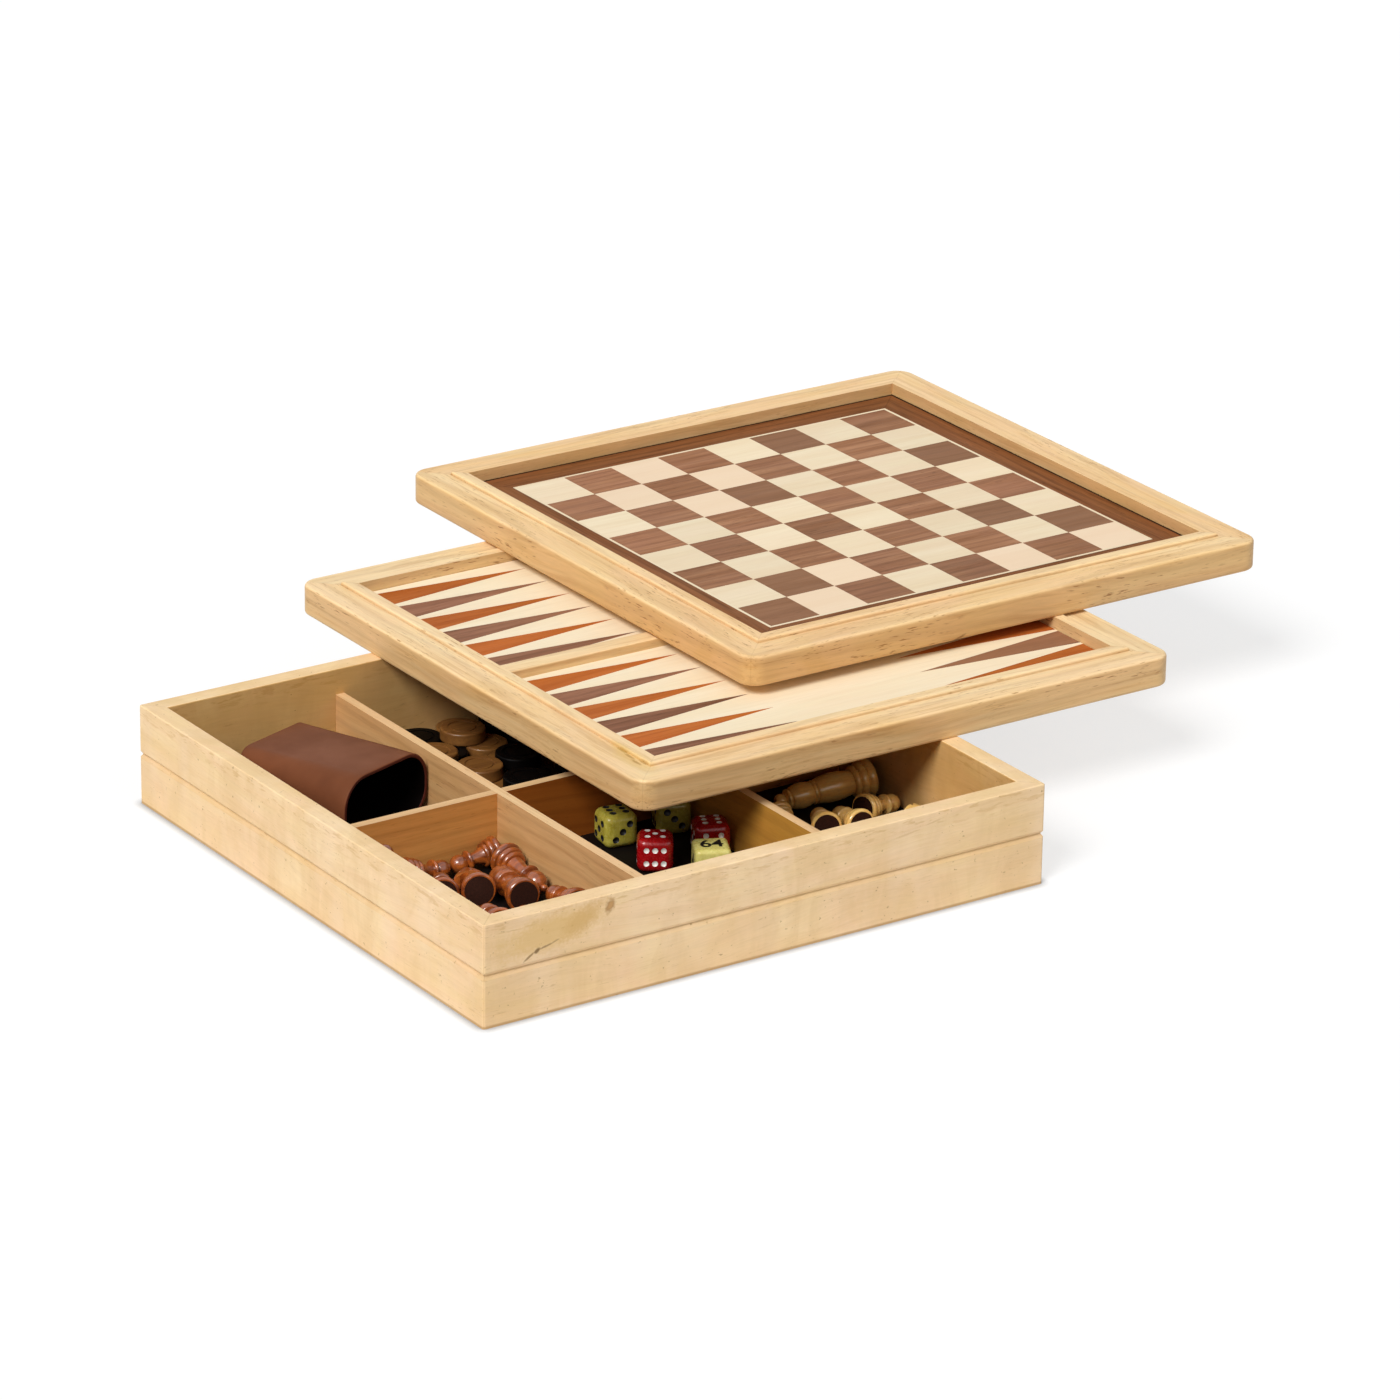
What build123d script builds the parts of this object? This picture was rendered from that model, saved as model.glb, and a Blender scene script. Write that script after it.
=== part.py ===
from build123d import *
import math
import os

# A games compendium: a divided wooden tray of chessmen, draughts, dice and dice cups, closed by two
# framed boards that stack on it, a backgammon board first and a chessboard on top.  The boards stand
# drawn off the tray towards one corner, so that its compartments are open.
# Millimetres.  The origin is the centre of the tray's underside, +Z is up, and the tray's sides
# lie along X and Y.  The front is -Y and the left is -X.

# ---- tray
tray_side = 290.0
tray_height = 47.4
wall_thickness = 9.5
tray_corner_round = 1.2
tray_rim_round = 0.7
waist_groove_width = 3.6
waist_groove_depth = 1.2
waist_groove_height = 23.8
floor_thickness = 5.0
floor_lap = 4.5
divider_thickness = 4.5
divider_height = 30.0
housing_depth = 2.0
glue_gap = 0.05

# ---- boards, both framed alike
board_side = 289.5
rail_thickness = 14.5
rail_width = 20.7
board_corner_radius = 9.0
rail_edge_round = 1.6
bead_width = 6.0
bead_height = 1.5
bead_round = 1.1
panel_drop = 5.6
core_thickness = 6.0
tongue_length = 4.0
veneer_thickness = 0.8
inlay_gap = 0.06
panel_edge_gap = 0.3

# ---- chess panel
square_side = 26.8
line_width = 1.4

# ---- backgammon panel
points_per_quarter = 6
point_pitch = 19.15
point_base = 17.0
point_length = 84.0
bar_width = 9.75
bar_rise = 4.4

# ---- how far each board stands drawn off, from the centre of the tray
backgammon_offset = (120.0, 64.0)
chess_offset = (219.0, 127.0)

# ---- loose contents
die_side = 16.0
die_round = 3.0
draught_diameter = 21.0
draught_thickness = 6.0
draught_rim_round = 0.9
draught_ring_radius = 7.0
draught_ring_depth = 0.4
cup_mouth_width = 58.0
cup_mouth_height = 33.0
cup_mouth_round = 14.5
cup_base_width = 46.0
cup_base_height = 31.0
cup_base_round = 6.5
cup_length = 66.0
cup_wall = 2.0
cup_base_thickness = 2.4
rest_gap = 0.15
drawn_pitch = 91.8333

# ---- sizes that follow
floor_top = floor_thickness
inner_side = tray_side - 2 * wall_thickness
divider_pitch = (inner_side + divider_thickness) / 3
divider_top = floor_top + divider_height
# The loose contents keep in step with the compartments: fit is for the sizes named above, and
# spread for the places and profiles that are written below for compartments 91.8333 apart.
fit = divider_pitch / drawn_pitch
spread = divider_pitch / 91.8333
opening = board_side - 2 * rail_width
board_top = rail_thickness + bead_height
panel_top = board_top - panel_drop
core_top = panel_top - veneer_thickness
core_bottom = core_top - core_thickness
field_side = 8 * square_side
backgammon_place = Pos(*backgammon_offset, tray_height)
chess_place = Pos(*chess_offset, tray_height + board_top)
side_names = ("right", "back", "left", "front")


def write(name, *solids):
    shape = solids[0] if len(solids) == 1 else Compound(children=list(solids))
    export_step(shape, f"parts/{name}.step")


def block(width, depth, low, high, x=0.0, y=0.0):
    return Pos(x, y, (low + high) / 2) * Box(width, depth, high - low)


def mitred_sides(ring, reach):
    # Four lengths of one frame, cut apart on its diagonals, in the order of side_names.
    wedge = Pos(0, 0, -reach) * extrude(
        make_face(Polyline((0, 0), (reach, -reach), (reach, reach), close=True)), 2 * reach
    )
    return [(ring & (Rot(0, 0, 90 * turn) * wedge)).solid() for turn in range(4)]


# ---- tray: four mitred walls rebated for the floor, and three dividers halved into each other

def divider_housing(along_y, place):
    # The stopped slots in two opposite walls that one divider's ends are let into.
    length = inner_side + 2 * housing_depth + 2 * glue_gap
    width = divider_thickness + 2 * glue_gap
    if along_y:
        return block(width, length, floor_top, divider_top + glue_gap, x=place)
    return block(length, width, floor_top, divider_top + glue_gap, y=place)


def tray_walls():
    ring = block(tray_side, tray_side, 0, tray_height)
    ring = fillet(ring.edges().filter_by(Axis.Z), tray_corner_round)
    ring -= block(inner_side, inner_side, -1, tray_height + 1)
    ring = fillet(ring.faces().sort_by(Axis.Z)[-1].edges(), tray_rim_round)
    rebate_side = inner_side + 2 * floor_lap
    ring -= block(rebate_side, rebate_side, -1, floor_top)
    half = waist_groove_width / 2
    sections = [
        Pos(0, 0, waist_groove_height + step * half) * Rectangle(side, side)
        for step, side in ((-1, tray_side), (0, tray_side - 2 * waist_groove_depth), (1, tray_side))
    ]
    around = block(
        tray_side + 5, tray_side + 5, waist_groove_height - half, waist_groove_height + half
    )
    ring -= around - loft(sections, ruled=True)
    for place in (-divider_pitch / 2, divider_pitch / 2):
        ring -= divider_housing(True, place)
    ring -= divider_housing(False, 0)
    return mitred_sides(ring, tray_side)


def tray_floor():
    side = inner_side + 2 * floor_lap - 2 * glue_gap
    return block(side, side, 0, floor_top)


def dividers():
    # The two cross dividers are slotted from below and the long one from above, so they halve.
    length = inner_side + 2 * housing_depth
    middle = (floor_top + divider_top) / 2
    slot = divider_thickness + 2 * glue_gap
    places = {"left_divider": -divider_pitch / 2, "right_divider": divider_pitch / 2}
    lengthwise = block(length, divider_thickness, floor_top, divider_top)
    made = {}
    for name, x in places.items():
        made[name] = block(divider_thickness, length, floor_top, divider_top, x=x)
        made[name] -= block(slot, slot, floor_top - 1, middle + glue_gap, x=x)
        lengthwise -= block(slot, slot, middle, divider_top + 1, x=x)
    made["long_divider"] = lengthwise
    return made


# ---- boards: a mitred frame with a bead round its opening, grooved for the panel

def board_rails():
    frame = extrude(RectangleRounded(board_side, board_side, board_corner_radius), rail_thickness)
    rims = frame.edges().group_by(Axis.Z)
    frame = fillet(rims[0] + rims[-1], rail_edge_round)
    bead_side = opening + 2 * bead_width
    bead = block(bead_side, bead_side, rail_thickness - 1, board_top)
    bead = fillet(bead.edges().group_by(Axis.Z)[-1], bead_round)
    groove_side = opening + 2 * (tongue_length + glue_gap)
    frame += bead
    frame -= block(opening, opening, -1, board_top + 1)
    frame -= block(groove_side, groove_side, core_bottom - glue_gap, core_top + glue_gap)
    return mitred_sides(frame, board_side)


def board_core():
    side = opening + 2 * tongue_length
    return block(side, side, core_bottom, core_top)


def inlay(outline):
    return Pos(0, 0, core_top) * extrude(outline, veneer_thickness)


def chess_squares(shade):
    side = square_side - inlay_gap
    centre = (8 - 1) / 2
    return [
        inlay(Pos((column - centre) * square_side, (row - centre) * square_side) * Rectangle(side, side))
        for column in range(8)
        for row in range(8)
        if (column + row) % 2 == shade
    ]


def chess_line():
    outer = field_side + 2 * line_width
    return inlay(Rectangle(outer, outer) - Rectangle(field_side + inlay_gap, field_side + inlay_gap))


def chess_border():
    inner = field_side + 2 * line_width + inlay_gap
    outer = opening - 2 * panel_edge_gap
    return mitred_sides(inlay(Rectangle(outer, outer) - Rectangle(inner, inner)), board_side)


def point_outline(side, place, spare=0.0):
    # One long triangle, its base on the left or right rail (side -1 or 1) and its tip inward.
    base_x = side * (opening / 2 - panel_edge_gap + spare)
    tip_x = side * (opening / 2 - point_length - spare * point_length / point_base)
    half = point_base / 2 + spare
    return make_face(Polyline((base_x, place - half), (base_x, place + half), (tip_x, place), close=True))


def point_places():
    # Centres of the twelve points down one side, from the back of the board to the front.
    margin = (opening / 2 - bar_width / 2 - points_per_quarter * point_pitch) / 2
    first = bar_width / 2 + margin + point_pitch / 2
    near_bar = [first + step * point_pitch for step in range(points_per_quarter)]
    return list(reversed(near_bar)) + [-place for place in near_bar]


def backgammon_points(shade):
    return [
        inlay(point_outline(side, place))
        for side in (-1, 1)
        for count, place in enumerate(point_places())
        if (count + (side > 0)) % 2 == shade
    ]


def backgammon_field():
    side = opening - 2 * panel_edge_gap
    outline = Rectangle(side, side) - Rectangle(side + 1, bar_width + 2 * inlay_gap)
    for rail in (-1, 1):
        for place in point_places():
            outline -= point_outline(rail, place, inlay_gap)
    return inlay(outline).solids()


def backgammon_bar():
    length = opening - 2 * panel_edge_gap
    bar = block(length, bar_width, core_top, panel_top + bar_rise)
    return fillet(bar.edges().filter_by(Axis.X).group_by(Axis.Z)[-1], 0.8)


# ---- chessmen, turned on the lathe: each step of a profile is a straight (radius, height) or an arc
# through (radius, height) to (radius, height)

base_radius = {"pawn": 7.0, "rook": 7.8, "knight": 7.8, "bishop": 7.8, "queen": 8.8, "king": 9.2}
foot_bead_share = 0.2
# Each bead of a foot in shares of the foot's radius: its radius, its middle height, and the radius
# and height of the groove over it.
foot_beads = [(1.0, foot_bead_share, 0.82, 0.42), (0.91, 0.6, 0.72, 0.78), (0.8, 0.93, 0.58, 1.08)]


def turned(steps):
    at = (0.0, 0.0)
    edges = []
    for step in steps:
        if len(step) == 2:
            edges.append(Line(at, step))
        else:
            edges.append(ThreePointArc(at, step[:2], step[2:]))
        at = step[-2:]
    edges.append(Line(at, (0, 0)))
    return revolve(make_face(Plane.XZ * Wire(edges)), Axis.Z)


def foot(base):
    # Three turned beads, each smaller than the one it stands on, shared by every man.
    steps = [(0.9 * base, 0)]
    for radius, middle, waist, top in foot_beads:
        steps.append((radius * base, middle * base, waist * base, top * base))
    return steps


def ball(neck, height, radius):
    # The round top of a man, on a neck of a given radius, from its start to its pole on the axis.
    start = height - math.sqrt(radius**2 - neck**2)
    return [(neck, start), (radius, height, 0, height + radius)]


def pawn():
    steps = foot(base_radius["pawn"])
    steps += [(3.0, 10.6, 2.7, 13.6), (4.2, 13.9), (4.8, 14.7, 4.2, 15.5)]
    return turned(steps + ball(2.8, 19.3, 4.3))


def rook():
    steps = foot(base_radius["rook"])
    steps += [(4.1, 12.5, 4.2, 17.0), (5.6, 17.2), (6.1, 18.0, 5.6, 18.8), (4.9, 19.2)]
    steps += [(5.9, 20.6), (5.9, 26.5), (4.1, 26.5), (4.1, 24.4), (0, 24.4)]
    tower = turned(steps)
    for turn in (0, 90):
        tower -= Rot(0, 0, turn) * block(14, 1.8, 24.8, 27)
    return tower


def bishop():
    steps = foot(base_radius["bishop"])
    steps += [(3.6, 12.6, 3.0, 18.2), (4.8, 18.4), (5.4, 19.2, 4.8, 20.0), (3.2, 20.5)]
    steps += [(5.0, 25.0, 1.2, 30.0)] + ball(1.2, 31.2, 1.7)
    slit = Pos(4.0, 0, 26.4) * Rot(0, -35, 0) * Box(6.0, 12.0, 0.8)
    return turned(steps) - slit


def queen():
    steps = foot(base_radius["queen"])
    steps += [(4.6, 15.5, 3.7, 24.0), (5.4, 24.3), (6.1, 25.2, 5.4, 26.1), (4.0, 26.6)]
    steps += [(4.2, 31.0, 6.0, 36.0), (4.6, 36.6), (3.4, 37.7, 1.3, 38.2)]
    crown = turned(steps + ball(1.3, 39.6, 1.9))
    notches = 8
    for notch in range(notches):
        crown -= Rot(0, 0, 360 / notches * notch) * Pos(6.2, 0, 36.4) * Rot(0, 90, 0) * Cylinder(0.8, 3.0)
    return crown


def king():
    # A stout body, a grooved shoulder and a plain turned knob.
    steps = foot(base_radius["king"])
    steps += [(6.7, 17.0, 5.6, 27.6), (4.9, 28.2), (5.6, 29.1, 4.9, 30.0)]
    steps += [(6.0, 35.4, 4.8, 40.2), (3.9, 40.8), (4.7, 41.7, 3.9, 42.6), (2.3, 43.1)]
    return turned(steps + [(3.3, 45.4, 1.9, 47.6), (0, 47.9)])


def knight():
    # A turned foot with a carved horse's head, its profile in the XZ plane and its nose towards +X.
    base = base_radius["knight"]
    stand = turned(foot(base) + [(0, 1.08 * base)])
    half = 3.7
    crest = Spline((-4.6, 5.6), (-5.6, 12.0), (-4.9, 20.0), (-1.6, 27.2), (1.2, 30.0))
    edges = [
        crest,
        Line(crest @ 1, (2.0, 27.4)),
        Spline((2.0, 27.4), (5.0, 23.6), (7.6, 19.4)),
        ThreePointArc((7.6, 19.4), (7.4, 17.2), (5.4, 16.8)),
        Spline((5.4, 16.8), (1.8, 18.4), (2.6, 13.4), (4.8, 9.6), (4.6, 5.6)),
        Line((4.6, 5.6), crest @ 0),
    ]
    head = extrude(make_face(Plane.XZ * Wire(edges)), half, both=True)
    width = Pos(0, 0, 5.6) * extrude(Ellipse(9.0, 4.4), 26, taper=2.5)
    return stand + (head & width)


men = {"pawn": pawn, "rook": rook, "knight": knight, "bishop": bishop, "queen": queen, "king": king}

# What a man lying down touches the floor with, beside its foot: the radius and height of that place,
# and the turn about its axis that brings it down.  A knight lies on its cheek.
lying_on = {
    "pawn": (4.3, 19.3, 0),
    "rook": (5.9, 26.5, 0),
    "knight": (3.7, 27.0, 90),
    "bishop": (5.2, 24.6, 0),
    "queen": (6.1, 35.8, 0),
    "king": (6.05, 35.0, 0),
}


def laid(kind, x, y, heading):
    # A man lying on the tray's floor: the centre of its base at x, y and its head towards heading.
    base = base_radius[kind]
    touch_radius, touch_height, roll = lying_on[kind]
    bead_height_up = foot_bead_share * base
    span = touch_height - bead_height_up
    tilt = math.atan2(base, span) - math.asin(touch_radius / math.hypot(base, span))
    lift = spread * (base * math.cos(tilt) + bead_height_up * math.sin(tilt))
    turn = Rot(0, 0, heading) * Rot(0, 90 + math.degrees(tilt), 0) * Rot(0, 0, roll)
    return Pos(spread * x, spread * y, floor_top + rest_gap + lift) * turn * scale(men[kind](), spread)


def stood(kind, x, y):
    return Pos(spread * x, spread * y, floor_top + rest_gap) * scale(men[kind](), spread)


# Where the men lie: kind, x and y of the base's centre, and the heading of the head in degrees.
dark_men = [
    ("pawn", -53.6, -10.6, 177),
    ("pawn", -101.4, -11.0, 2),
    ("pawn", -98.5, -39.0, 62),
    ("pawn", -95.0, -79.5, 75),
    ("pawn", -55.5, -79.0, 88),
    ("pawn", -81.0, -90.0, 80),
    ("pawn", -75.5, -133.5, 90),
    ("rook", -71.5, -61.0, 80),
    ("rook", -94.0, -133.5, 90),
    ("knight", -85.0, -46.0, 68),
    ("knight", -108.5, -45.5, -90),
    ("bishop", -56.5, -21.0, -88),
    ("bishop", -57.0, -133.5, 90),
    ("queen", -125.5, -32.0, -90),
    ("king", -125.0, -133.5, 90),
]
standing_pawn = (-112.5, -12.5)
light_men = [
    ("pawn", 74.0, -41.5, -100),
    ("pawn", 84.0, -66.5, 65),
    ("pawn", 99.0, -72.0, 84),
    ("pawn", 109.5, -58.0, 14),
    ("pawn", 128.0, -133.5, 90),
    ("pawn", 111.5, -97.0, 90),
    ("pawn", 95.0, -97.0, 90),
    ("pawn", 77.0, -97.0, 90),
    ("rook", 127.0, -100.0, 94),
    ("rook", 57.0, -56.5, -90),
    ("knight", 57.5, -19.0, -90),
    ("knight", 112.5, -133.5, 90),
    ("bishop", 77.0, -133.5, 90),
    ("bishop", 95.0, -133.5, 90),
    ("queen", 58.0, -133.5, 90),
    ("king", 131.0, -33.0, 172),
]


def lying_men(places, kind):
    return [laid(kind, x, y, heading) for name, x, y, heading in places if name == kind]


# ---- draughts: x, y, layer above the floor, and 1 for black or 0 for natural

draught_places = [
    (-32.7, 14.2, 0, 1), (-10.8, 13.4, 0, 0), (11.0, 13.9, 0, 1), (32.8, 13.5, 0, 0),
    (-32.6, 36.2, 0, 0), (-10.9, 35.4, 0, 1), (10.8, 35.9, 0, 0), (32.6, 35.2, 0, 1),
    (-32.8, 58.3, 0, 1), (-11.0, 57.2, 0, 0), (10.6, 57.9, 0, 1), (32.4, 57.0, 0, 1),
    (-32.8, 80.2, 0, 0), (-11.0, 79.2, 0, 1), (10.7, 79.9, 0, 0), (32.6, 79.0, 0, 0),
    (-32.6, 102.3, 0, 1), (-10.9, 101.2, 0, 1), (10.9, 101.9, 0, 0), (32.7, 100.8, 0, 1),
    (-32.6, 124.3, 0, 0), (-11.0, 123.2, 0, 1), (10.6, 124.2, 0, 0), (32.6, 122.6, 0, 1),
    (-22.0, 92.0, 1, 0), (-13.0, 68.0, 1, 0), (4.0, 110.0, 1, 0),
    (9.5, 71.5, 1, 1), (-3.0, 45.0, 1, 1), (22.0, 26.0, 1, 0),
]


def draught():
    disc = extrude(Circle(draught_diameter / 2), draught_thickness)
    disc = fillet(disc.edges(), draught_rim_round)
    ring = Circle(draught_ring_radius) - Circle(draught_ring_radius - 1.2)
    top = Pos(0, 0, draught_thickness - draught_ring_depth) * extrude(ring, 1)
    bottom = Pos(0, 0, draught_ring_depth - 1) * extrude(ring, 1)
    return disc - top - bottom


def draughts(shade):
    disc = scale(draught(), fit)
    return [
        Pos(spread * x, spread * y, floor_top + layer * fit * draught_thickness) * disc
        for x, y, layer, colour in draught_places
        if colour == shade
    ]


# ---- dice cups: leather walls from a square-cornered base to a rounder mouth, lying on their sides

def cup_section(along, inset=0.0):
    # The cup lies along Y with its mouth at 0, and its lowest line is at zero height all the way.
    share = along / cup_length
    width = cup_mouth_width + (cup_base_width - cup_mouth_width) * share
    height = cup_mouth_height + (cup_base_height - cup_mouth_height) * share
    corner = cup_mouth_round + (cup_base_round - cup_mouth_round) * share
    section = RectangleRounded(width - 2 * inset, height - 2 * inset, corner - inset)
    return Pos(0, along, height / 2) * (Plane.XZ * section)


def cup_wall_shell():
    outside = loft([cup_section(0), cup_section(cup_length)], ruled=True)
    inside = loft([cup_section(-1, cup_wall), cup_section(cup_length + 1, cup_wall)], ruled=True)
    return outside - inside


def cup_base():
    start = cup_length - cup_base_thickness
    inset = cup_wall + glue_gap
    return loft([cup_section(start, inset), cup_section(cup_length, inset)], ruled=True)


# Where each cup's mouth stands, and the turn of the cup.
cup_places = {"left_cup": (-76.2, 45.4, 19.0), "right_cup": (90.5, 47.0, -11.0)}

# ---- dice: x, y and turn of each on the tray's floor

dice_places = {
    "left_red_die": (4.1, -49.1, -33.0),
    "right_red_die": (33.8, -48.6, -24.0),
    "left_lime_die": (4.6, -16.8, -9.0),
    "right_lime_die": (33.9, -17.1, -22.0),
    "doubling_cube": (18.6, -71.8, -26.0),
}


def die():
    cube = block(die_side, die_side, 0, die_side)
    return fillet(cube.edges(), die_round)


os.makedirs("parts", exist_ok=True)

for side, wall in zip(side_names, tray_walls()):
    write(f"tray_{side}_wall", wall)
write("tray_floor", tray_floor())
for name, panel in dividers().items():
    write(name, panel)

for board, place in (("backgammon", backgammon_place), ("chess", chess_place)):
    for side, rail in zip(side_names, board_rails()):
        write(f"{board}_{side}_rail", place * rail)
    write(f"{board}_panel_core", place * board_core())

write("backgammon_bar", backgammon_place * backgammon_bar())
write("backgammon_field", *[backgammon_place * half for half in backgammon_field()])
write("orange_points", *[backgammon_place * point for point in backgammon_points(0)])
write("brown_points", *[backgammon_place * point for point in backgammon_points(1)])
write("chess_border", *[chess_place * strip for strip in chess_border()])
write("chess_line", chess_place * chess_line())
write("dark_squares", *[chess_place * square for square in chess_squares(0)])
write("light_squares", *[chess_place * square for square in chess_squares(1)])

for shade, places in (("dark", dark_men), ("light", light_men)):
    for kind in men:
        group = lying_men(places, kind)
        if (shade, kind) == ("dark", "pawn"):
            group.append(stood(kind, *standing_pawn))
        plural = kind if kind in ("queen", "king") else f"{kind}s"
        write(f"{shade}_{plural}", *group)

write("natural_draughts", *draughts(0))
write("black_draughts", *draughts(1))

for name, (x, y, turn) in cup_places.items():
    place = Pos(spread * x, spread * y, floor_top + rest_gap) * Rot(0, 0, turn)
    write(f"{name}_wall", place * scale(cup_wall_shell(), fit))
    write(f"{name}_base", place * scale(cup_base(), fit))

for name, (x, y, turn) in dice_places.items():
    write(name, Pos(spread * x, spread * y, floor_top) * Rot(0, 0, turn) * scale(die(), fit))
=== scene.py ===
import math
import bpy
from mathutils import Matrix, Vector


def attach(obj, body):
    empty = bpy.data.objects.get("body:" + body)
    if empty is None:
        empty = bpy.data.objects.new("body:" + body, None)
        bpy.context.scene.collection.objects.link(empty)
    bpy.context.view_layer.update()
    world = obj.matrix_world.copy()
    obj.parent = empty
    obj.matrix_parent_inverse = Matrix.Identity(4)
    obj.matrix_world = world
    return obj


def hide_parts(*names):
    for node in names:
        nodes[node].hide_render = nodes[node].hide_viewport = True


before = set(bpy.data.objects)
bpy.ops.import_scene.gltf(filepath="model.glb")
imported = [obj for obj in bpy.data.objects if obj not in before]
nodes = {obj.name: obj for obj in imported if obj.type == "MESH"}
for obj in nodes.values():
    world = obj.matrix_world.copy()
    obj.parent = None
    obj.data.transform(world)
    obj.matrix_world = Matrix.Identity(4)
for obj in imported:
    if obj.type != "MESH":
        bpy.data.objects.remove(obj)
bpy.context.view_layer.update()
mm = 0.001
print("Games box: frame loaded,", len(nodes), "CAD nodes")

# centre of the tray and of each board in millimetres
boardPlaces = {"tray": (0, 0), "backgammon": (120, 64), "chess": (219, 127)}


# camera and lamps

cameraSetup = {
    "place": (-1.49276, -2.28931, 1.16304),
    "look": (0.52114, 0.76828, -0.37169),
    "right": (0.83051, -0.55685, 0.01345),
    "lens": 171.59, "sensor": 36, "far": 50,
}


def setCamera(setup):
    look, right = Vector(setup["look"]).normalized(), Vector(setup["right"]).normalized()
    up = right.cross(look)
    bpy.ops.object.camera_add()
    camera = bpy.context.object
    camera.name = "Camera"
    camera.data.lens = setup["lens"]
    camera.data.sensor_width = setup["sensor"]
    camera.data.clip_end = setup["far"]
    turn = Matrix((right, up, -look)).transposed()
    camera.matrix_world = Matrix.Translation(setup["place"]) @ turn.to_4x4()
    bpy.context.scene.camera = camera


lampSetup = {
    "skyStrength": 0.30, "height": 1.5,
    "key": {"strength": 2.80, "spread": 22, "from": (-0.70, -0.36, 0.75)},
    "fill": {"strength": 0.35, "spread": 60, "from": (0.35, -0.85, 0.55)},
}


def addSun(name, lamp, height):
    bpy.ops.object.light_add(type="SUN", location=(0, 0, height))
    sun = bpy.context.object
    sun.name = name
    sun.data.energy = lamp["strength"]
    sun.data.angle = math.radians(lamp["spread"])
    sun.rotation_euler = Vector(lamp["from"]).to_track_quat("Z", "Y").to_euler()


# shader helpers

def tone(red, green, blue):
    # screen colour 0 to 255, turned into the linear colour that a socket takes
    shares = [c / 255 for c in (red, green, blue)]
    return (*[c / 12.92 if c <= 0.04045 else ((c + 0.055) / 1.055) ** 2.4 for c in shares], 1.0)


def put(tree, value, socket):
    if isinstance(value, bpy.types.NodeSocket):
        tree.links.new(value, socket)
    else:
        socket.default_value = value


def newMaterial(name):
    material = bpy.data.materials.new(name)
    material.use_nodes = True
    tree = material.node_tree
    tree.nodes.clear()
    output = tree.nodes.new("ShaderNodeOutputMaterial")
    shader = tree.nodes.new("ShaderNodeBsdfPrincipled")
    tree.links.new(shader.outputs[0], output.inputs[0])
    return material, tree, shader


def objectPlace(tree):
    return tree.nodes.new("ShaderNodeTexCoord").outputs["Object"]


def calc(tree, operation, first, second=None):
    node = tree.nodes.new("ShaderNodeMath")
    node.operation = operation
    put(tree, first, node.inputs[0])
    if second is not None:
        put(tree, second, node.inputs[1])
    return node.outputs[0]


def calcVector(tree, operation, first, second=None):
    node = tree.nodes.new("ShaderNodeVectorMath")
    node.operation = operation
    put(tree, first, node.inputs[0])
    if second is not None:
        put(tree, second, node.inputs[1])
    return node.outputs["Value" if operation == "LENGTH" else "Vector"]


def blendColour(tree, factor, first, second, mode="MIX"):
    node = tree.nodes.new("ShaderNodeMix")
    node.data_type = "RGBA"
    node.blend_type = mode
    put(tree, factor, node.inputs[0])
    put(tree, first, node.inputs[6])
    put(tree, second, node.inputs[7])
    return node.outputs[2]


def blendVector(tree, factor, first, second):
    node = tree.nodes.new("ShaderNodeMix")
    node.data_type = "VECTOR"
    put(tree, factor, node.inputs[0])
    put(tree, first, node.inputs[4])
    put(tree, second, node.inputs[5])
    return node.outputs[1]


def between(tree, value, low, high, toLow=0.0, toHigh=1.0):
    node = tree.nodes.new("ShaderNodeMapRange")
    for number, part in enumerate((value, low, high, toLow, toHigh)):
        put(tree, part, node.inputs[number])
    return node.outputs[0]


def noise(tree, place, stretch, detail=2.0, rough=0.5, distort=0.0, colour=False):
    # stretch is in waves per metre
    node = tree.nodes.new("ShaderNodeTexNoise")
    tree.links.new(calcVector(tree, "MULTIPLY", place, stretch), node.inputs["Vector"])
    node.inputs["Scale"].default_value = 1.0
    node.inputs["Detail"].default_value = detail
    node.inputs["Roughness"].default_value = rough
    node.inputs["Distortion"].default_value = distort
    return node.outputs["Color" if colour else "Fac"]


def parts(tree, place):
    node = tree.nodes.new("ShaderNodeSeparateXYZ")
    tree.links.new(place, node.inputs[0])
    return node.outputs


def joined(tree, x, y, z):
    node = tree.nodes.new("ShaderNodeCombineXYZ")
    for value, socket in zip((x, y, z), node.inputs):
        put(tree, value, socket)
    return node.outputs[0]


def addBump(tree, shader, height, depth, strength):
    node = tree.nodes.new("ShaderNodeBump")
    node.inputs["Strength"].default_value = strength
    node.inputs["Distance"].default_value = depth
    tree.links.new(height, node.inputs["Height"])
    tree.links.new(node.outputs[0], shader.inputs["Normal"])


def product(tree, first, second):
    return calc(tree, "MULTIPLY", first, second)


def grey(tree, level):
    return joined(tree, level, level, level)


def tint(tree, share, colour, shade):
    # a screen colour laid over a colour, as strongly as its share
    return blendColour(tree, share, colour, tone(*shade))


def deepen(tree, colour, shade):
    return blendColour(tree, 1.0, colour, tone(*shade), "MULTIPLY")


def dim(tree, colour, level):
    return blendColour(tree, 1.0, colour, grey(tree, level), "MULTIPLY")


def cloud(tree, place, look, low=0.0, high=1.0):
    # noise that goes from low to high over its span
    if "shift" in look:
        place = calcVector(tree, "ADD", place, look["shift"])
    field = noise(tree, place, look["stretch"], look.get("detail", 2.0), look.get("rough", 0.5),
                  look.get("distort", 0.0))
    return between(tree, field, *look["span"], low, high)


def band(tree, value, middle, half, soft, depth):
    # a stripe, sizes in millimetres: full within its half width, then fading out
    off = calc(tree, "ABSOLUTE", calc(tree, "SUBTRACT", value, middle * mm))
    return between(tree, off, half * mm, (half + soft) * mm, depth, 0.0)


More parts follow.
